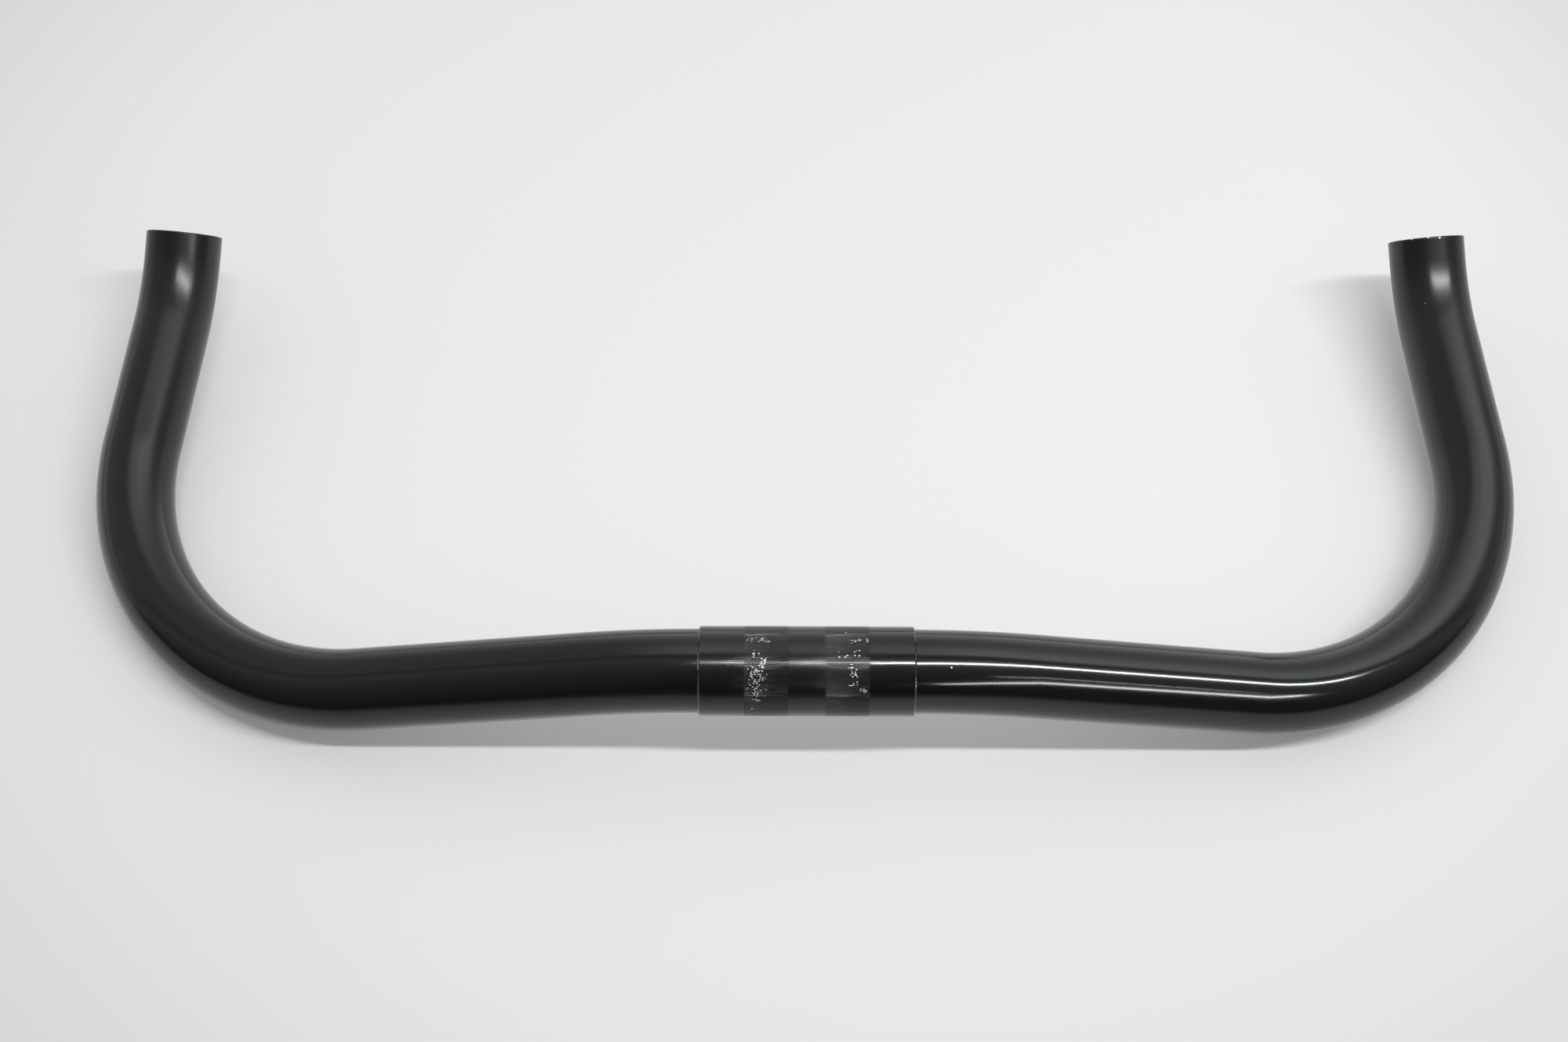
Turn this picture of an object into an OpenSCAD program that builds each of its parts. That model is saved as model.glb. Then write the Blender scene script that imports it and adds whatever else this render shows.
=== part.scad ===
// Bullhorn handlebar: one bent aluminium tube with a clamp sleeve pressed over its middle.
// The frame has its origin at the middle of the clamp seat, +X along the clamp axis to the
// right horn, +Y forward along the horns and +Z up. The bar lies as it comes to rest on a
// flat surface, on the undersides of its two corners, with the clamp seat and both open
// ends held clear.

/* [Tube] */
// Outside diameter of the bent tube
tube_d = 23.8; // [19:0.1:31.8]
// Wall thickness of the bent tube
tube_wall = 2; // [1.2:0.1:3]
// Size of the small chamfers inside and outside each open end
end_chamfer = 0.3; // [0.1:0.1:0.5]

/* [Middle] */
// Bare straight tube left at each end of the sleeve, before the drop bend starts
middle_bare = 0.5; // [0.5:0.1:20]
// Lean of the drop bends, measured from straight down towards the front
drop_lean = 13.1; // [0:0.1:30]
// Radius of the drop bend on each side, at the centre line of the tube
drop_radius = 150; // [60:1:220]
// Angle of the drop bend
drop_angle = 12.5; // [6:0.5:20]

/* [Corners] */
// Length of the straight stretch between the drop bend and the corner
top_len = 68; // [30:1:100]
// Radius of the corner, at the centre line of the tube
corner_radius = 82; // [45:1:110]
// Angle of the corner
corner_angle = 94.5; // [80:0.5:105]
// Turn of the corner's plane from the drop bend's plane
corner_turn = 85; // [60:1:110]

/* [Horns] */
// Length of the straight stretch of each horn
horn_len = 41; // [20:1:90]
// Radius of the rise bend near the end of the horn, at the centre line of the tube
rise_radius = 56; // [40:1:120]
// Angle of the rise bend
rise_angle = 28; // [10:1:45]
// Turn of the rise bend's plane from the corner's plane
rise_turn = 77; // [60:1:110]
// Length of the straight stretch at each open end
end_len = 6; // [3:1:40]

/* [Sleeve] */
// Wall thickness of the clamp sleeve, which makes a seat 25.4 across on a tube of 23.8
sleeve_wall = 0.8; // [0.7:0.05:4]
// Length of the clamp sleeve
sleeve_len = 61; // [54:1:90]
// Play between the sleeve's bore and the tube, across the diameter
sleeve_play = 0; // [0:0.01:0.1]
// Size of the chamfer round each end of the sleeve
sleeve_chamfer = 0.5; // [0.2:0.1:0.5]

/* [Fluted bands] */
// Width of each fluted band on the sleeve
band_w = 12.3; // [6:0.1:16]
// Width of the plain stretch between the two bands
band_gap = 10.4; // [4:0.1:20]
// Number of flutes round each band
flute_count = 160; // [60:4:180]
// Depth of each flute
flute_depth = 0.15; // [0.05:0.01:0.25]
// Share of the pitch left as plain land between two flutes
flute_land = 0.4; // [0.3:0.05:0.7]

/* [Hidden] */
$fn = 96;
tube_r = tube_d / 2;
bore_r = tube_r - tube_wall;
middle_len = sleeve_len + 2 * middle_bare;
sleeve_bore_r = tube_r + sleeve_play / 2;
sleeve_r = sleeve_bore_r + sleeve_wall;
flute_pitch = 360 / flute_count;
flute_root_r = sleeve_r - flute_depth;
// Overlap that keeps cutting shapes clear of the faces they cut
cut_over = 1;
// Loss of radius where the tube is drawn through a bend
bend_draw = 0.02;
// Length by which a bend's arc runs into the straight stretch on either side
bend_lap = 0.5;

// A straight stretch along +Z, with what follows it set at its far end
module straight(r, len) {
    cylinder(r = r, h = len);
    translate([0, 0, len]) children();
}

// Sets what follows a bend at the bend's far end, turned by the bend's angle
module past_bend(radius, angle) {
    translate([radius, 0, 0])
        rotate([0, angle, 0])
            translate([-radius, 0, 0])
                children();
}

// A bend that starts along +Z and turns to the side that turn gives, measured from +X
// towards +Y. The tube is drawn a hair slimmer through it, and its arc runs a little way
// into the stretch on either side, so that the three are one piece at any angle.
module bend(r, radius, angle, turn) {
    lap = bend_lap / radius * 180 / PI;
    rotate([0, 0, turn]) {
        translate([radius, 0, 0])
            rotate([90, 0, 180])
                rotate_extrude(start = -lap, angle = angle + 2 * lap)
                    translate([radius, 0])
                        circle(r = r - bend_draw);
        past_bend(radius, angle) children();
    }
}

// The run of one side, from the end of the middle stretch to the open end
module side_run(r) {
    bend(r, drop_radius, drop_angle, 0)
        straight(r, top_len)
            bend(r, corner_radius, corner_angle, corner_turn)
                straight(r, horn_len)
                    bend(r, rise_radius, rise_angle, rise_turn)
                        children();
}

// Sets a run at the right end of the middle stretch, with its first bend turned down
module right_side() {
    rotate([drop_lean, 0, 0])
        rotate([0, 90, 0])
            translate([0, 0, middle_len / 2])
                children();
}

// The same run on both sides
module both_sides() {
    right_side() children();
    mirror([1, 0, 0]) right_side() children();
}

// The middle stretch, centred on the clamp seat
module middle(r) {
    rotate([0, 90, 0])
        cylinder(r = r, h = middle_len, center = true);
}

// The outside of the tube, with a chamfer round each open end
module tube_outside() {
    middle(tube_r);
    both_sides()
        side_run(tube_r)
            straight(tube_r, end_len - end_chamfer)
                cylinder(r1 = tube_r, r2 = tube_r - end_chamfer, h = end_chamfer);
}

// The bore right through the tube, opened by a chamfer at each end
module tube_bore() {
    middle(bore_r);
    both_sides()
        side_run(bore_r)
            straight(bore_r, end_len - end_chamfer)
                cylinder(r1 = bore_r, r2 = bore_r + end_chamfer + cut_over, h = end_chamfer + cut_over);
}

module bar_tube() {
    color([0.09, 0.09, 0.1])
        difference() {
            tube_outside();
            tube_bore();
        }
}

// The plain turned form of the sleeve, with a chamfer round each end
module sleeve_blank() {
    half = sleeve_len / 2;
    rotate([0, 90, 0])
        rotate_extrude()
            polygon([
                [sleeve_bore_r, -half],
                [sleeve_r - sleeve_chamfer, -half],
                [sleeve_r, -half + sleeve_chamfer],
                [sleeve_r, half - sleeve_chamfer],
                [sleeve_r - sleeve_chamfer, half],
                [sleeve_bore_r, half]
            ]);
}

// Outline of a fluted band: V cuts from the land circle down to the roots. The star's tips
// stand above the circle, so that each land keeps its share of the pitch.
module flute_outline() {
    land_turn = flute_pitch * flute_land / 2;
    root_turn = flute_pitch / 2;
    reach = root_turn / (root_turn - land_turn);
    tip_r = flute_root_r + flute_depth * reach;
    intersection() {
        circle(r = sleeve_r);
        polygon([
            for (i = [0 : 2 * flute_count - 1])
                let (r = i % 2 == 0 ? tip_r : flute_root_r)
                    [r * cos(i * root_turn), r * sin(i * root_turn)]
        ]);
    }
}

// The ring that is cut away between the land circle and the flutes of one band
module band_waste() {
    linear_extrude(height = band_w)
        difference() {
            circle(r = sleeve_r + cut_over);
            flute_outline();
        }
}

module centre_sleeve() {
    color([0.13, 0.13, 0.14])
        difference() {
            sleeve_blank();
            for (side = [-1, 1])
                translate([side * (band_gap + band_w) / 2 - band_w / 2, 0, 0])
                    rotate([0, 90, 0])
                        band_waste();
        }
}

bar_tube();
centre_sleeve();
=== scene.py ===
import bpy
import numpy as np
from mathutils import Matrix, Vector


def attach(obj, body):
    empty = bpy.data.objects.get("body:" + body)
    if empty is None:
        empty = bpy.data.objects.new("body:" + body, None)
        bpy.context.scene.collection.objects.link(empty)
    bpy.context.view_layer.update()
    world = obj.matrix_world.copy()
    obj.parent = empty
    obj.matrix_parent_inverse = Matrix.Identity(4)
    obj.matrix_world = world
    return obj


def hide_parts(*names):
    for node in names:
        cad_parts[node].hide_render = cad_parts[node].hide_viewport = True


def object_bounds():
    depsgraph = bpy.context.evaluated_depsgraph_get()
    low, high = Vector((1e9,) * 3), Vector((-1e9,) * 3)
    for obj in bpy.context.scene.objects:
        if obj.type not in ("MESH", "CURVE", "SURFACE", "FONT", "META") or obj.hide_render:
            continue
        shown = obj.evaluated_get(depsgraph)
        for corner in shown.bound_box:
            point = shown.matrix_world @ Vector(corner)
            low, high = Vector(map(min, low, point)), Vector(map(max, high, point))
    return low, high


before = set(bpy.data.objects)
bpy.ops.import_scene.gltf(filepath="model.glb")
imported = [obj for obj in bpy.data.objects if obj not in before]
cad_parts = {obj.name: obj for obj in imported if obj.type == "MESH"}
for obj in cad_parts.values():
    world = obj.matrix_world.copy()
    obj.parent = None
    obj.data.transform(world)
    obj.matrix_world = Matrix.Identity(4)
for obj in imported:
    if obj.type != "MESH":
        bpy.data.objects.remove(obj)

cad_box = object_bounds()
MM = 0.001

# The tube: its radii, and the run of one side from the middle outwards. A straight has a
# length. A bend has a radius, an angle and the turn of its plane from that of the bend before.
TUBE_R = 11.9 * MM
BORE_R = 9.9 * MM
RUN = [
    {"straight": 31 * MM},
    {"radius": 150 * MM, "angle": 12.5, "turn": 0},
    {"straight": 68 * MM},
    {"radius": 82 * MM, "angle": 94.5, "turn": 85},
    {"straight": 41 * MM},
    {"radius": 56 * MM, "angle": 28, "turn": 77},
    {"straight": 6 * MM},
]
# Lean of the first bend's plane, from straight down towards the front, in degrees
DROP_LEAN = 13.1
# The tube is drawn this much slimmer inside a bend, and eases into it over this length
BEND_DRAW = 0.02 * MM
DRAW_EASE = 6 * MM
# Rounding of the rims at the open ends, its points, and how far from the end a last plain ring
# holds the shading of the straight tube, in roundings
RIM = 0.45 * MM
RIM_POINTS = 5
COLLAR = 1.15
# Points round the tube, and the spacing of its rings on the straights and in the bends
TUBE_AROUND = 120
OUTSIDE_STEPS = (4 * MM, 1.6 * MM)
BORE_STEPS = (12 * MM, 4 * MM)

# The sleeve over the middle, with its two fluted bands
SLEEVE_R = 12.7 * MM
SLEEVE_HALF = 30.5 * MM
SLEEVE_CHAMFER = 0.5 * MM
BAND_W = 12.3 * MM
BAND_GAP = 10.4 * MM
FLUTES = 160
# The coat runs into the flutes, so that they are shallower and narrower than they were cut
FLUTE_DEPTH = 0.07 * MM
FLUTE_LAND = 0.6
# Places across one land and one flute, in pitches
FLUTE_PHASES = [-0.3, -0.1, 0.1, 0.3, 0.34, 0.38, 0.42, 0.46, 0.5, 0.54, 0.58, 0.62, 0.66]
# Width of the step at each end of a band, and how far from the chamfer the last plain ring lies
BAND_STEP = 0.02 * MM
SLEEVE_RING = 6 * MM
# Edges that turn by more than this many degrees stay sharp on the sleeve
SHARP_EDGE = 40


def piece_length(piece):
    """Length of a straight, or of a bend's arc at the centre line."""
    if "straight" in piece:
        return piece["straight"]
    return piece["radius"] * np.radians(piece["angle"])


SIDE_LENGTH = sum(piece_length(piece) for piece in RUN)


def turned(vector, axis, angle):
    """One vector turned about a unit axis by each of an array of angles: the part across the
    axis goes round by cosine and sine, and the part along the axis stays."""
    cosine = np.cos(angle)[..., None]
    sine = np.sin(angle)[..., None]
    return vector * cosine + np.cross(axis, vector) * sine + axis * (axis @ vector) * (1 - cosine)


def centre_line(along):
    """Place, direction and two side vectors of the tube at each signed length from the middle.
    A straight goes on along its direction. A bend turns place and vectors about its own axis by
    length over radius. The left side is the right side mirrored."""
    reach = np.abs(along)
    lean = np.radians(DROP_LEAN)
    place, ahead, up = np.zeros(3), np.array([1.0, 0, 0]), np.array([0, 0, 1.0])
    inwards = np.array([0, np.sin(lean), -np.cos(lean)])
    places = np.zeros(reach.shape + (3,))
    aheads, ups = np.zeros_like(places), np.zeros_like(places)
    start = 0.0
    for piece in RUN:
        length = piece_length(piece)
        for_piece = (reach >= start)[..., None]
        run = np.concatenate([(reach - start).ravel(), [length]])
        if "straight" in piece:
            new_places = place + ahead * run[:, None]
            new_aheads = np.broadcast_to(ahead, new_places.shape)
            new_ups = np.broadcast_to(up, new_places.shape)
        else:
            turn = np.radians(piece["turn"])
            inwards = inwards * np.cos(turn) + np.cross(ahead, inwards) * np.sin(turn)
            axis = np.cross(ahead, inwards)
            centre = place + inwards * piece["radius"]
            angle = run / piece["radius"]
            new_places = centre + turned(place - centre, axis, angle)
            new_aheads = turned(ahead, axis, angle)
            new_ups = turned(up, axis, angle)
            inwards = turned(inwards, axis, angle)[-1]
        places = np.where(for_piece, new_places[:-1].reshape(places.shape), places)
        aheads = np.where(for_piece, new_aheads[:-1].reshape(places.shape), aheads)
        ups = np.where(for_piece, new_ups[:-1].reshape(places.shape), ups)
        place, ahead, up = new_places[-1], new_aheads[-1], new_ups[-1]
        start += length
    left = (along < 0)[..., None]
    places = np.where(left, places * [-1, 1, 1], places)
    aheads = np.where(left, aheads * [1, -1, -1], aheads)
    ups = np.where(left, ups * [-1, 1, 1], ups)
    return places, aheads, ups, np.cross(aheads, ups)


def drawn_slimmer(along):
    """Loss of radius at each length: nothing on a straight, easing to the full draw in a bend."""
    reach = np.abs(along)
    loss = np.zeros_like(reach)
    start = 0.0
    for piece in RUN:
        length = piece_length(piece)
        if "radius" in piece:
            inside = np.clip(np.minimum(reach - start, start + length - reach) / DRAW_EASE, 0, 1)
            loss = loss + BEND_DRAW * inside * inside * (3 - 2 * inside)
        start += length
    return loss


def rows_along(step_straight, step_bend):
    """Lengths at which the tube gets a ring, close together in the bends."""
    lengths = []
    start = 0.0
    for piece in RUN:
        length = piece_length(piece)
        step = step_bend if "radius" in piece else step_straight
        count = max(2, int(np.ceil(length / step)))
        lengths.append(start + length * np.arange(count) / count)
        start += length
    one_side = np.concatenate(lengths)
    return np.concatenate([-one_side[:0:-1], one_side])


def make_piece(name, points, skin, sharp_angle):
    """A closed mesh from a grid of points that wraps both ways. Corner (i, j) joins (i, j + 1),
    (i + 1, j + 1) and (i + 1, j). The skin attribute keeps where each point would be if the
    tube were straight."""
    rows, columns = points.shape[:2]
    i, j = np.meshgrid(np.arange(rows), np.arange(columns), indexing="ij")
    below, beside = (i + 1) % rows, (j + 1) % columns
    corners = [i * columns + j, i * columns + beside, below * columns + beside, below * columns + j]
    quads = np.stack(corners, axis=-1).reshape(-1, 4)
    mesh = bpy.data.meshes.new(name)
    mesh.from_pydata(points.reshape(-1, 3).tolist(), [], quads.tolist())
    mesh.attributes.new("skin", "FLOAT_VECTOR", "POINT").data.foreach_set("vector", skin.ravel())
    mesh.shade_smooth()
    if sharp_angle:
        mesh.set_sharp_from_angle(angle=np.radians(sharp_angle))
    piece = bpy.data.objects.new(name, mesh)
    bpy.context.scene.collection.objects.link(piece)
    return piece


def tube():
    """The bent tube as one closed skin. A point at length s, radius r and angle a round the tube
    is the centre line's place, plus r cos(a) of its up vector and r sin(a) of its side vector.
    The rows go out along the outside, round the right rim, back along the bore and round the
    left rim."""
    outside = rows_along(*OUTSIDE_STEPS)
    inside = rows_along(*BORE_STEPS)
    quarter = np.radians(np.linspace(0, 90, RIM_POINTS))
    collar = COLLAR * RIM
    rounding_along = SIDE_LENGTH - RIM + RIM * np.sin(quarter)
    outer_radius = TUBE_R - RIM + RIM * np.cos(quarter)
    inner_radius = BORE_R + RIM - RIM * np.cos(quarter[::-1])
    end_along = np.concatenate(
        [
            [SIDE_LENGTH - collar],
            rounding_along,
            [SIDE_LENGTH, SIDE_LENGTH],
            rounding_along[::-1],
            [SIDE_LENGTH - collar],
        ]
    )
    end_radius = np.concatenate(
        [[TUBE_R], outer_radius, [TUBE_R - collar, BORE_R + collar], inner_radius, [BORE_R]]
    )
    along = np.concatenate([outside, end_along, inside[::-1], -end_along[::-1]])
    radius = np.concatenate(
        [
            TUBE_R - drawn_slimmer(outside),
            end_radius,
            BORE_R - drawn_slimmer(inside[::-1]),
            end_radius[::-1],
        ]
    )
    place, _, up, side = centre_line(along)
    angle = 2 * np.pi * np.arange(TUBE_AROUND) / TUBE_AROUND
    cosine, sine = np.cos(angle)[None, :, None], np.sin(angle)[None, :, None]
    ring = up[:, None] * cosine + side[:, None] * sine
    points = place[:, None] + radius[:, None, None] * ring
    skin = np.empty_like(points)
    skin[..., 0] = along[:, None]
    skin[..., 1] = radius[:, None] * np.cos(angle)
    skin[..., 2] = radius[:, None] * np.sin(angle)
    return make_piece("gloss_tube", points, skin, 0)


def sleeve():
    """The clamp sleeve as one closed skin. A point at place x and angle a is x along the clamp
    axis and its row's radius across it, less the depth of the flutes in the bands: none on a
    land, and half the depth times 1 - cos of the way across a flute in between."""
    phase = (np.arange(FLUTES)[:, None] + np.array(FLUTE_PHASES)).ravel()
    from_land = np.abs(phase - np.round(phase))
    across_flute = np.clip((from_land - FLUTE_LAND / 2) / (0.5 - FLUTE_LAND / 2), 0, 1)
    depth = (1 - np.cos(np.pi * across_flute)) / 2 * FLUTE_DEPTH
    angle = 2 * np.pi * phase / FLUTES
    band_start, band_end = BAND_GAP / 2, BAND_GAP / 2 + BAND_W
    half_rows = [
        (0.0, SLEEVE_R, 0),
        (band_start - BAND_STEP, SLEEVE_R, 0),
        (band_start, SLEEVE_R, 1),
        ((band_start + band_end) / 2, SLEEVE_R, 1),
        (band_end, SLEEVE_R, 1),
        (band_end + BAND_STEP, SLEEVE_R, 0),
        (SLEEVE_HALF - SLEEVE_CHAMFER - SLEEVE_RING, SLEEVE_R, 0),
        (SLEEVE_HALF - SLEEVE_CHAMFER, SLEEVE_R, 0),
        (SLEEVE_HALF, SLEEVE_R - SLEEVE_CHAMFER, 0),
        (SLEEVE_HALF, TUBE_R, 0),
    ]
    mirrored = [(-x, radius, cut) for x, radius, cut in half_rows[:0:-1]]
    x, radius, cut = np.array(mirrored + half_rows).T
    across = radius[:, None] - cut[:, None] * depth[None, :]
    points = np.empty(across.shape + (3,))
    points[..., 0] = x[:, None]
    points[..., 1] = -across * np.sin(angle)
    points[..., 2] = across * np.cos(angle)
    skin = np.stack([points[..., 0], points[..., 2], -points[..., 1]], axis=-1)
    return make_piece("gloss_sleeve", points, skin, SHARP_EDGE)


def put(tree, socket, value):
    """Links a socket to another one, or sets it to a plain value."""
    if isinstance(value, bpy.types.NodeSocket):
        tree.links.new(value, socket)
    else:
        socket.default_value = value


def maths(tree, operation, *values):
    """One Math node on the values, and its result."""
    node = tree.nodes.new("ShaderNodeMath")
    node.operation = operation
    for socket, value in zip(node.inputs, values):
        put(tree, socket, value)
    return node.outputs[0]


def vectors(tree, operation, *values):
    """One Vector Math node on the values, and its result."""
    node = tree.nodes.new("ShaderNodeVectorMath")
    node.operation = operation
    for socket, value in zip(node.inputs, values):
        put(tree, socket, value)
    return node.outputs["Value" if operation == "DISTANCE" else "Vector"]


def eased(tree, value, low, high, to_low=0.0, to_high=1.0):
    """A smooth step: to_low below low, to_high above high."""
    node = tree.nodes.new("ShaderNodeMapRange")
    node.interpolation_type = "SMOOTHSTEP"
    for socket, number in zip(node.inputs, (value, low, high, to_low, to_high)):
        put(tree, socket, number)
    return node.outputs[0]


def noise(tree, place, scale, detail=2.0):
    """Soft noise between about 0.2 and 0.8."""
    node = tree.nodes.new("ShaderNodeTexNoise")
    put(tree, node.inputs["Vector"], place)
    put(tree, node.inputs["Scale"], scale)
    put(tree, node.inputs["Detail"], detail)
    return node.outputs[0]


def mixed(tree, share, first, second):
    """A colour between two, by a share from 0 to 1."""
    node = tree.nodes.new("ShaderNodeMix")
    node.data_type = "RGBA"
    put(tree, node.inputs[0], share)
    put(tree, node.inputs[6], first)
    put(tree, node.inputs[7], second)
    return node.outputs[2]


def levels(tree, value, stops):
    """A ramp of grey levels: each stop has a place from 0 to 1 and a level."""
    node = tree.nodes.new("ShaderNodeValToRGB")
    ramp = node.color_ramp
    while len(ramp.elements) < len(stops):
        ramp.elements.new(0.5)
    for element, (place, level) in zip(ramp.elements, stops):
        element.position = place
        element.color = (level, level, level, 1)
    put(tree, node.inputs[0], value)
    return node.outputs[0]


def new_material(name):
    """An empty node material with its shader, and the shader itself."""
    material = bpy.data.materials.new(name)
    material.use_nodes = True
    tree = material.node_tree
    return material, tree, tree.nodes["Principled BSDF"]


# The gloss coat: its colour, the tint of what it mirrors, its refraction, and its roughness with
# the clouding up and down
BLACK = (0.0028, 0.0036, 0.0042, 1)
COAT_TINT = (0.97, 1.0, 1.02, 1)
COAT_IOR = 1.5
COAT_ROUGHNESS = 0.10
CLOUDING = 0.04
# How fine the noises of the coat are, per metre: its lines, which lie along the tube because
# their places are squeezed that way, its peel and its clouding
LINES_FINE = 9000.0
LINES_SQUEEZE = (0.03, 1.0, 1.0)
PEEL_FINE = 900.0
CLOUDING_FINE = 60.0
# Height of the lines and the peel, how strongly they show, and the part that the lines have
COAT_RELIEF = 0.1 * MM
RELIEF_STRENGTH = 0.02
LINES_SHARE = 0.3
# Bare metal: its colour, how metallic it looks and how much rougher than the coat it is
BARE_METAL = (0.66, 0.67, 0.66, 1)
BARE_METALLIC = 0.6
BARE_ROUGHER = 0.3
# Extra roughness of the sleeve: on the brushed middle as far as this to both sides, softened
# over this length, and on its left end, where it fades out between two places along the axis
HAZE_MIDDLE = 0.09
HAZE_MIDDLE_HALF = 5.3 * MM
HAZE_MIDDLE_SOFT = 0.2 * MM
HAZE_SLEEVE_LEFT = 0.03
HAZE_SLEEVE_LEFT_REACH = (-17.6 * MM, -17.3 * MM)
# Extra roughness of the tube in lines on its left horn and corner: how much, the lengths along
# the tube between which it fades out, how fine and how squeezed the lines are, and the levels of
# their noise between which they show
HAZE_CORNER = 0.08
HAZE_CORNER_REACH = (-0.26, -0.10)
HAZE_LINES_FINE = 2500.0
HAZE_LINES_SQUEEZE = (0.02, 1.0, 1.0)
HAZE_LINES_SHOWN = (0.5, 0.7)
# Extra roughness towards both open ends: how much, and how long before the end it starts and
# is full
HAZE_ENDS = 0.15
HAZE_ENDS_REACH = (0.09, 0.02)

# Places where a clamp has rubbed the sleeve, and at its left end a painted highlight along the chamfer:
# the ends along the axis in millimetres, the ends round it in degrees from the top towards the front,
# and how thick the specks lie
RUBBED_AND_GLINT = [
    (-17.4, -9.6, -17, -5, 0.50),
    (-15.2, -12.2, 3, 17, 0.52),
    (-13.6, -10.6, 13, 31, 0.42),
    (-15.2, -13.2, 24, 74, 0.46),
    (-17.0, -10.4, 21, 62, 0.24),
    (-16.7, -12.6, 31, 34, 1.0),
    (-16.0, -12.6, 69, 74, 0.70),
    (-15.8, -14.8, 83, 90, 0.70),
    (11.6, 17.8, -15, -6, 0.50),
    (8.2, 15.6, 1, 17, 0.28),
    (9.6, 12.0, -36, -17, 0.16),
    (11.4, 14.6, 20, 53, 0.36),
    (13.4, 17.8, 51, 61, 0.48),
    (30.0, 31.0, 36, 56, 0.75),
    # A painted highlight: bare specks along the left chamfer stand in for its glint
    (-30.8, -30.1, 5, 34, 0.7),
]
# A patch's soft edges, at most: along the axis in millimetres and round it in degrees
PATCH_SOFT = 1.2
PATCH_SOFT_ROUND = 5.0
# How far a patch's ends waver in millimetres, and how fine that noise is, per metre. Rows of
# specks that are shorter than the least length don't waver.
PATCH_WAVER = 3.0
WAVER_FINE = 300.0
WAVER_LEAST = 1.0
# How specks bunch together: how fine, how much, and the share below which none is left
BUNCHES_FINE = 900.0
BUNCHES_GAIN = 1.5
BUNCHES_FLOOR = 0.04
# Length of one worn speck in millimetres, how far each land's specks are shifted from those of
# the land before, in specks, and where they end, in pitches from the middle of the land
SPECK_LENGTH = 0.42
SPECK_SHIFT = 0.37
LAND_EDGE = (0.24, 0.32)
# Chips in the coat of the tube: place and size in millimetres
CHIPS = [
    (193.8, 159.3, 5.5, 0.45),
    (195.9, 158.6, 6.7, 0.3),
    (198.6, 158.3, 7.6, 0.5),
    (202.2, 158.0, 7.6, 0.35),
    (197.6, 140.5, -4.1, 0.1),
    (-204.9, 60.8, -14.5, 0.05),
    (-125.1, 0.15, -5.2, 0.05),
    (40.2, -5.1, 10.5, 0.25),
]
# How ragged and how fine the edges of the chips are, and the distances past a chip's size over
# which it ends, in millimetres
CHIP_RAGGED = 0.6 * MM
CHIP_RAGS_FINE = 3000.0
CHIP_EDGE = (0.2, 0.35)


def most(tree, values):
    """The largest of several values."""
    largest = values[0]
    for value in values[1:]:
        largest = maths(tree, "MAXIMUM", largest, value)
    return largest


def window(tree, value, low, high, edge):
    """A share that rises over an edge at low and falls over one at high."""
    rising = eased(tree, value, low, low + edge)
    falling = eased(tree, value, high - edge, high, 1.0, 0.0)
    return maths(tree, "MULTIPLY", rising, falling)


def skin_places(tree):
    """The place on the straightened tube, the length along it and the angle round it from the
    top towards the front, in metres and degrees."""
    skin = tree.nodes.new("ShaderNodeAttribute")
    skin.attribute_name = "skin"
    split = tree.nodes.new("ShaderNodeSeparateXYZ")
    put(tree, split.inputs[0], skin.outputs["Vector"])
    along, up, front = split.outputs
    angle = maths(tree, "MULTIPLY", maths(tree, "ARCTAN2", front, up), 180 / np.pi)
    return skin.outputs["Vector"], along, angle


def rubbed_and_chamfer_glint(tree):
    """Specks and short dashes of bare metal where the clamp has rubbed the sleeve, and along its left
    chamfer, where they are a painted highlight. Each land is split into short lengths, and a length is
    bare by chance, with the share of its patch."""
    straight, along, angle = skin_places(tree)
    along = maths(tree, "MULTIPLY", along, 1 / MM)
    wavy = maths(tree, "MULTIPLY", noise(tree, straight, WAVER_FINE), PATCH_WAVER)
    shifted = maths(tree, "ADD", along, maths(tree, "SUBTRACT", wavy, PATCH_WAVER / 2))
    patches = []
    for first, last, top, front, thick in RUBBED_AND_GLINT:
        edge = min(PATCH_SOFT, (last - first) / 3)
        place = shifted if last - first > WAVER_LEAST else along
        inside = window(tree, place, first, last, edge)
        edge_round = min(PATCH_SOFT_ROUND, (front - top) / 3)
        inside = maths(tree, "MULTIPLY", inside, window(tree, angle, top, front, edge_round))
        patches.append(maths(tree, "MULTIPLY", inside, thick))
    share = most(tree, patches)
    flute = maths(tree, "MULTIPLY", angle, FLUTES / 360)
    row = maths(tree, "ROUND", flute)
    from_land = maths(tree, "ABSOLUTE", maths(tree, "SUBTRACT", flute, row))
    on_land = eased(tree, from_land, *LAND_EDGE, 1.0, 0.0)
    place = maths(tree, "DIVIDE", along, SPECK_LENGTH)
    place = maths(tree, "ADD", place, maths(tree, "MULTIPLY", row, SPECK_SHIFT))
    cell = tree.nodes.new("ShaderNodeCombineXYZ")
    put(tree, cell.inputs[0], maths(tree, "FLOOR", place))
    put(tree, cell.inputs[1], row)
    chance = tree.nodes.new("ShaderNodeTexWhiteNoise")
    chance.noise_dimensions = "2D"
    put(tree, chance.inputs["Vector"], cell.outputs[0])
    bunches = maths(tree, "MULTIPLY", noise(tree, straight, BUNCHES_FINE), BUNCHES_GAIN)
    bunched = maths(tree, "MULTIPLY", share, bunches)
    least = maths(tree, "SUBTRACT", bunched, BUNCHES_FLOOR)
    bare = maths(tree, "LESS_THAN", chance.outputs["Value"], least)
    return maths(tree, "MULTIPLY", bare, on_land)


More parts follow.
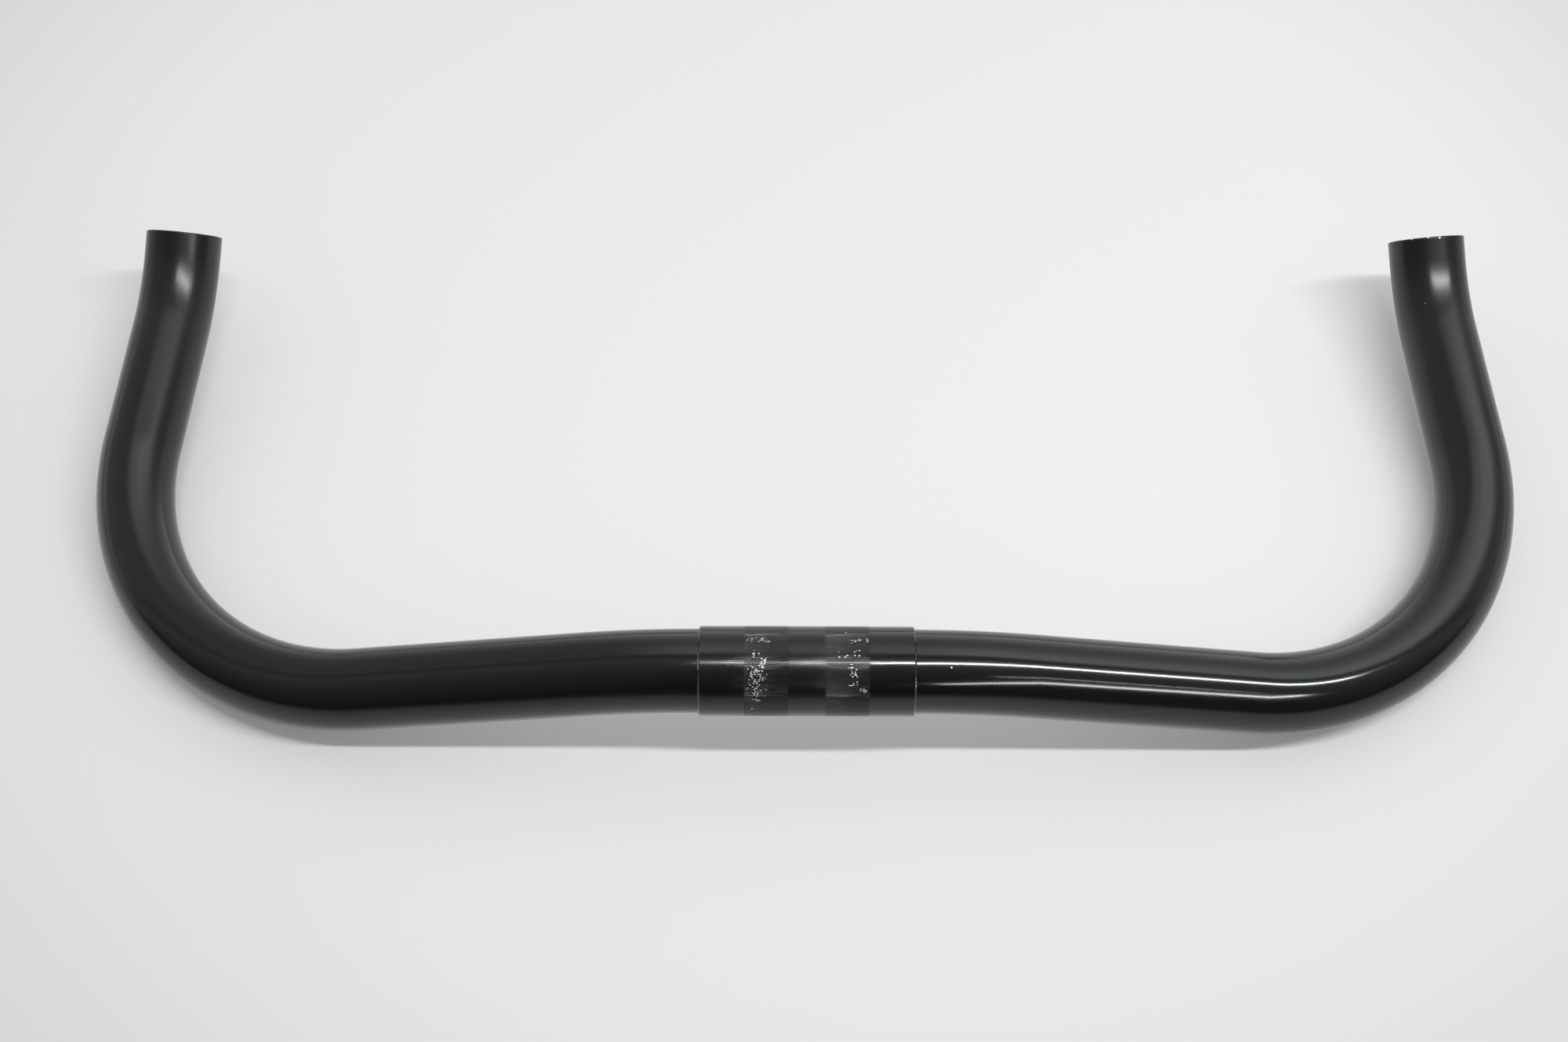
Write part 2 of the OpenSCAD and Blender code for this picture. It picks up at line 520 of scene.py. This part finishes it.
def chipped(tree):
    """Small chips in the coat: all within a chip's size of its place is bare, with a ragged edge."""
    place = tree.nodes.new("ShaderNodeTexCoord").outputs["Object"]
    ragged = maths(tree, "MULTIPLY", noise(tree, place, CHIP_RAGS_FINE), CHIP_RAGGED)
    starts, stops = CHIP_EDGE
    spots = []
    for x, y, z, size in CHIPS:
        away = vectors(tree, "DISTANCE", place, (x * MM, y * MM, z * MM))
        away = maths(tree, "ADD", away, ragged)
        spots.append(eased(tree, away, (size + starts) * MM, (size + stops) * MM, 1.0, 0.0))
    return most(tree, spots)


def sleeve_haze(tree):
    """Extra roughness of the sleeve: most on the brushed stretch between the bands, a little to
    the left of them, and none elsewhere."""
    along = skin_places(tree)[1]
    middle = window(tree, along, -HAZE_MIDDLE_HALF, HAZE_MIDDLE_HALF, HAZE_MIDDLE_SOFT)
    left = eased(tree, along, *HAZE_SLEEVE_LEFT_REACH, 1.0, 0.0)
    middle = maths(tree, "MULTIPLY", middle, HAZE_MIDDLE)
    return maths(tree, "ADD", middle, maths(tree, "MULTIPLY", left, HAZE_SLEEVE_LEFT))


def tube_haze(tree):
    """Extra roughness of the tube: fine lines along the left horn and corner, and a duller coat
    towards both open ends."""
    straight, along, _ = skin_places(tree)
    squeezed = vectors(tree, "MULTIPLY", straight, HAZE_LINES_SQUEEZE)
    lines = noise(tree, squeezed, HAZE_LINES_FINE)
    left = eased(tree, along, *HAZE_CORNER_REACH, 1.0, 0.0)
    lines = maths(tree, "MULTIPLY", eased(tree, lines, *HAZE_LINES_SHOWN), left)
    lines = maths(tree, "MULTIPLY", lines, HAZE_CORNER)
    start, full = HAZE_ENDS_REACH
    ends = eased(tree, maths(tree, "ABSOLUTE", along), SIDE_LENGTH - start, SIDE_LENGTH - full)
    return maths(tree, "ADD", lines, maths(tree, "MULTIPLY", ends, HAZE_ENDS))


def gloss_black(name, bare, haze):
    """Gloss black coat over aluminium. bare(tree) gives the share of metal that shows through
    and haze(tree) the extra roughness. Fine lines along the tube and a slight peel break up the
    gloss."""
    material, tree, shader = new_material(name)
    straight = skin_places(tree)[0]
    squeezed = vectors(tree, "MULTIPLY", straight, LINES_SQUEEZE)
    lines = noise(tree, squeezed, LINES_FINE, 3.0)
    peel = noise(tree, straight, PEEL_FINE)
    cloud = noise(tree, straight, CLOUDING_FINE, 4.0)
    metal = bare(tree)
    roughness = maths(tree, "ADD", COAT_ROUGHNESS, maths(tree, "MULTIPLY", cloud, CLOUDING))
    roughness = maths(tree, "ADD", roughness, haze(tree))
    roughness = maths(tree, "ADD", roughness, maths(tree, "MULTIPLY", metal, BARE_ROUGHER))
    height = maths(tree, "ADD", maths(tree, "MULTIPLY", lines, LINES_SHARE), peel)
    bump = tree.nodes.new("ShaderNodeBump")
    bump.inputs["Strength"].default_value = RELIEF_STRENGTH
    bump.inputs["Distance"].default_value = COAT_RELIEF
    put(tree, bump.inputs["Height"], height)
    put(tree, shader.inputs["Base Color"], mixed(tree, metal, BLACK, BARE_METAL))
    put(tree, shader.inputs["Metallic"], maths(tree, "MULTIPLY", metal, BARE_METALLIC))
    put(tree, shader.inputs["Roughness"], roughness)
    put(tree, shader.inputs["Normal"], bump.outputs[0])
    shader.inputs["Specular Tint"].default_value = COAT_TINT
    shader.inputs["IOR"].default_value = COAT_IOR
    return material


# The floor: half its width, its colour in the middle of a painted pool of light and the darker colour
# of painted shade away from it, the place of that middle, the distances between which the colour fades,
# and its own glow, which is painted light
FLOOR_HALF = 4.0
FLOOR_PALE = (0.754, 0.760, 0.744, 1)
FLOOR_PAINTED_SHADE = (0.485, 0.489, 0.479, 1)
FLOOR_LIGHT_MIDDLE = (-0.015, 0.202)
FLOOR_SHADE_FADE = (0.179, 0.528)
FLOOR_GLOW = 0.115
FLOOR_ROUGHNESS = 0.9
# The floor to the front as all but the camera sees it, which is what the gloss mirrors, darkened there
# as painted shade: its colour, the places along Y where that is full and where it starts, and the
# places along X between which these shift, by this much either way
MIRRORED_SHADE = (0.10, 0.105, 0.11, 1)
MIRRORED_FADE = (-0.355, -0.08)
MIRRORED_TURN = (-0.1, 0.15)
MIRRORED_SHIFT = 0.05


def floor(lowest):
    """A pale floor at the lowest point. Its colour is a painted pool of light, pale round a middle and
    fading into painted shade away from it, and a glow of its own, painted light, keeps it pale close to
    the bar. What the gloss mirrors of it falls off to the front as painted shade, as where the light of
    the room doesn't reach."""
    corners = [(-1, -1), (1, -1), (1, 1), (-1, 1)]
    mesh = bpy.data.meshes.new("floor")
    places = [(x * FLOOR_HALF, y * FLOOR_HALF, lowest) for x, y in corners]
    mesh.from_pydata(places, [], [(0, 1, 2, 3)])
    plane = bpy.data.objects.new("floor", mesh)
    bpy.context.scene.collection.objects.link(plane)
    material, tree, shader = new_material("floor")
    place = tree.nodes.new("ShaderNodeTexCoord").outputs["Object"]
    split = tree.nodes.new("ShaderNodeSeparateXYZ")
    put(tree, split.inputs[0], place)
    x, y, _ = split.outputs
    # A painted pool of light: pale round the middle, fading into painted shade away from it
    from_middle = vectors(tree, "DISTANCE", place, (*FLOOR_LIGHT_MIDDLE, lowest))
    pale = mixed(tree, eased(tree, from_middle, *FLOOR_SHADE_FADE), FLOOR_PALE, FLOOR_PAINTED_SHADE)
    # Painted shade, seen only in the gloss: the floor darkens to the front for all rays but the
    # camera's
    shift = eased(tree, x, *MIRRORED_TURN, -MIRRORED_SHIFT, MIRRORED_SHIFT)
    falloff = tree.nodes.new("ShaderNodeMapRange")
    for socket, number in zip(falloff.inputs, (maths(tree, "ADD", y, shift), *MIRRORED_FADE, 1.0, 0.0)):
        put(tree, socket, number)
    seen = tree.nodes.new("ShaderNodeLightPath").outputs["Is Camera Ray"]
    share = maths(tree, "MULTIPLY", falloff.outputs[0], maths(tree, "SUBTRACT", 1.0, seen))
    colour = mixed(tree, share, pale, MIRRORED_SHADE)
    put(tree, shader.inputs["Base Color"], colour)
    put(tree, shader.inputs["Emission Color"], colour)
    # Painted light: the floor glows of its own, though it is no lamp
    shader.inputs["Emission Strength"].default_value = FLOOR_GLOW
    shader.inputs["Roughness"].default_value = FLOOR_ROUGHNESS
    shader.inputs["Specular IOR Level"].default_value = 0.0
    mesh.materials.append(material)


# The lamps: name, ends, width, radiance, and the kind of light that each one leaves out. The
# main lamp is there twice: along the clamp axis for the bar's shadow, and aslant for its streak.
# The glints are seen in the gloss alone.
LAMPS = [
    ("main_lamp", (-0.15, -0.355, 1.43), (1.2, -0.355, 1.43), 0.06, 47.5, "glossy"),
    ("main_glint", (-0.035, -0.273, 1.43), (1.55, 0.0, 1.43), 0.07, 50.0, "diffuse"),
    ("second_glint", (0.75, -4.95, 2.2), (2.5, -1.56, 2.1), 0.12, 28.0, "diffuse"),
    ("third_glint", (1.0, -1.775, 2.0), (1.8, -1.35, 2.0), 0.02, 22.0, "diffuse"),
]
# Energy of a lamp for each unit of its radiance and its area
LAMP_ENERGY = 4.0


def strip_lamp(name, first, last, width, radiance, left_out):
    """A long narrow lamp from one point to another, facing the object. The kind of light that
    is left out is "glossy" for what surfaces mirror, or "diffuse" for what lights them."""
    first, last = Vector(first), Vector(last)
    length = (last - first).length
    light = bpy.data.lights.new(name, "AREA")
    light.shape = "RECTANGLE"
    light.size = length
    light.size_y = width
    light.energy = radiance * LAMP_ENERGY * length * width
    lamp = bpy.data.objects.new(name, light)
    bpy.context.scene.collection.objects.link(lamp)
    middle = (first + last) / 2
    run = (last - first).normalized()
    back = middle - middle.project(run)
    back.normalize()
    across = back.cross(run)
    lamp.matrix_world = Matrix((run, across, back)).transposed().to_4x4()
    lamp.location = middle
    lamp.visible_glossy = left_out != "glossy"
    lamp.visible_diffuse = left_out != "diffuse"


# Light of the room on all that isn't gloss, from the back and from the front, and where one
# gives way to the other, from the back (0) over the top (0.5) to the front (1)
ROOM_BACK = (0.62, 0.626, 0.62, 1)
ROOM_FRONT = (0.47, 0.474, 0.47, 1)
BACK_TO_FRONT = (0.44, 0.6)
# The plain room that the camera sees past the floor
BACKDROP = (0.83, 0.84, 0.82, 1)
# The room that the gloss mirrors: its strength, its tint, and its levels from the back (0) over
# the top (0.5) to the front (1), as mirrored from the left, from ahead and from the right
ROOM_SCALE = 2.0
ROOM_TINT = (0.965, 1.0, 0.97)
ROOM_LEFT = [
    (0.0, 0.52), (0.06, 0.40), (0.17, 0.27), (0.33, 0.26), (0.41, 0.26), (0.435, 0.14),
    (0.46, 0.21), (0.52, 0.25), (0.6, 0.18), (0.72, 0.12), (0.85, 0.08), (1.0, 0.03),
]
ROOM_MIDDLE = [
    (0.0, 0.80), (0.06, 0.60), (0.17, 0.38), (0.24, 0.42), (0.34, 0.72), (0.40, 0.76), (0.43, 0.25),
    (0.46, 0.14), (0.5, 0.26), (0.6, 0.20), (0.72, 0.10), (0.85, 0.035), (1.0, 0.03),
]
ROOM_RIGHT = [
    (0.0, 0.84), (0.06, 0.64), (0.17, 0.40), (0.25, 0.52), (0.32, 0.84), (0.375, 1.02), (0.40, 0.97),
    (0.425, 0.22), (0.465, 0.13), (0.5, 0.28), (0.6, 0.20), (0.72, 0.10), (0.85, 0.045), (1.0, 0.05),
]
# Leans to the side between which one ramp gives way to the next: left to middle, middle to
# right, and right to the dimmer left again
LEFT_TO_MIDDLE = (-0.35, 0.0)
MIDDLE_TO_RIGHT = (0.0, 0.3)
RIGHT_TO_DIM = (0.55, 0.85)


def room():
    """Soft light from all round. The gloss mirrors a room in which the direction's angle over
    the object picks the level, and its lean to the left or right picks the ramp. All else gets
    an even light, and the camera sees a plain pale room."""
    world = bpy.data.worlds.new("room")
    bpy.context.scene.world = world
    world.use_nodes = True
    tree = world.node_tree
    split = tree.nodes.new("ShaderNodeSeparateXYZ")
    put(tree, split.inputs[0], tree.nodes.new("ShaderNodeTexCoord").outputs["Generated"])
    x, y, z = split.outputs
    angle = maths(tree, "ARCTAN2", maths(tree, "MULTIPLY", y, -1.0), z)
    share = maths(tree, "ADD", maths(tree, "DIVIDE", angle, np.pi), 0.5)
    left = levels(tree, share, ROOM_LEFT)
    middle = levels(tree, share, ROOM_MIDDLE)
    right = levels(tree, share, ROOM_RIGHT)
    seen = mixed(tree, eased(tree, x, *LEFT_TO_MIDDLE), left, middle)
    seen = mixed(tree, eased(tree, x, *MIDDLE_TO_RIGHT), seen, right)
    seen = mixed(tree, eased(tree, x, *RIGHT_TO_DIM), seen, left)
    ray = tree.nodes.new("ShaderNodeLightPath")
    mirrored = vectors(tree, "MULTIPLY", seen, [ROOM_SCALE * tint for tint in ROOM_TINT])
    soft = mixed(tree, eased(tree, share, *BACK_TO_FRONT), ROOM_BACK, ROOM_FRONT)
    light = mixed(tree, ray.outputs["Is Glossy Ray"], soft, mirrored)
    light = mixed(tree, ray.outputs["Is Camera Ray"], light, BACKDROP)
    put(tree, tree.nodes["Background"].inputs["Color"], light)


# The camera's place, and how far it looks down, heads to the right and rolls, in degrees
CAMERA_AT = Vector((-0.00701, -0.34744, 0.56913))
CAMERA_DOWN = 54.948
CAMERA_HEADING = 0.065
CAMERA_ROLL = 0.290
# The camera's lens and the width of its sensor in millimetres, and how near it sees
LENS_LENGTH = 54.0
SENSOR_WIDTH = 36.0
NEAR = 0.01


def camera():
    """The camera: turned by its roll, tilted down from level and swung to its heading."""
    lens = bpy.data.cameras.new("camera")
    lens.lens = LENS_LENGTH
    lens.sensor_width = SENSOR_WIDTH
    lens.clip_start = NEAR
    seat = bpy.data.objects.new("camera", lens)
    bpy.context.scene.collection.objects.link(seat)
    heading = Matrix.Rotation(-np.radians(CAMERA_HEADING), 4, "Z")
    tilt = Matrix.Rotation(np.radians(90 - CAMERA_DOWN), 4, "X")
    roll = Matrix.Rotation(np.radians(CAMERA_ROLL), 4, "Z")
    seat.matrix_world = Matrix.Translation(CAMERA_AT) @ heading @ tilt @ roll
    bpy.context.scene.camera = seat


camera()

bar = tube()
bar.data.materials.append(gloss_black("gloss_black_tube", chipped, tube_haze))
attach(bar, "root")
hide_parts("bar_tube")

clamp_sleeve = sleeve()
clamp_sleeve.data.materials.append(gloss_black("gloss_black_sleeve", rubbed_and_chamfer_glint, sleeve_haze))
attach(clamp_sleeve, "root")
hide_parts("centre_sleeve")

floor(cad_box[0].z)
for lamp in LAMPS:
    strip_lamp(*lamp)
room()

bpy.context.scene.view_settings.view_transform = "Standard"
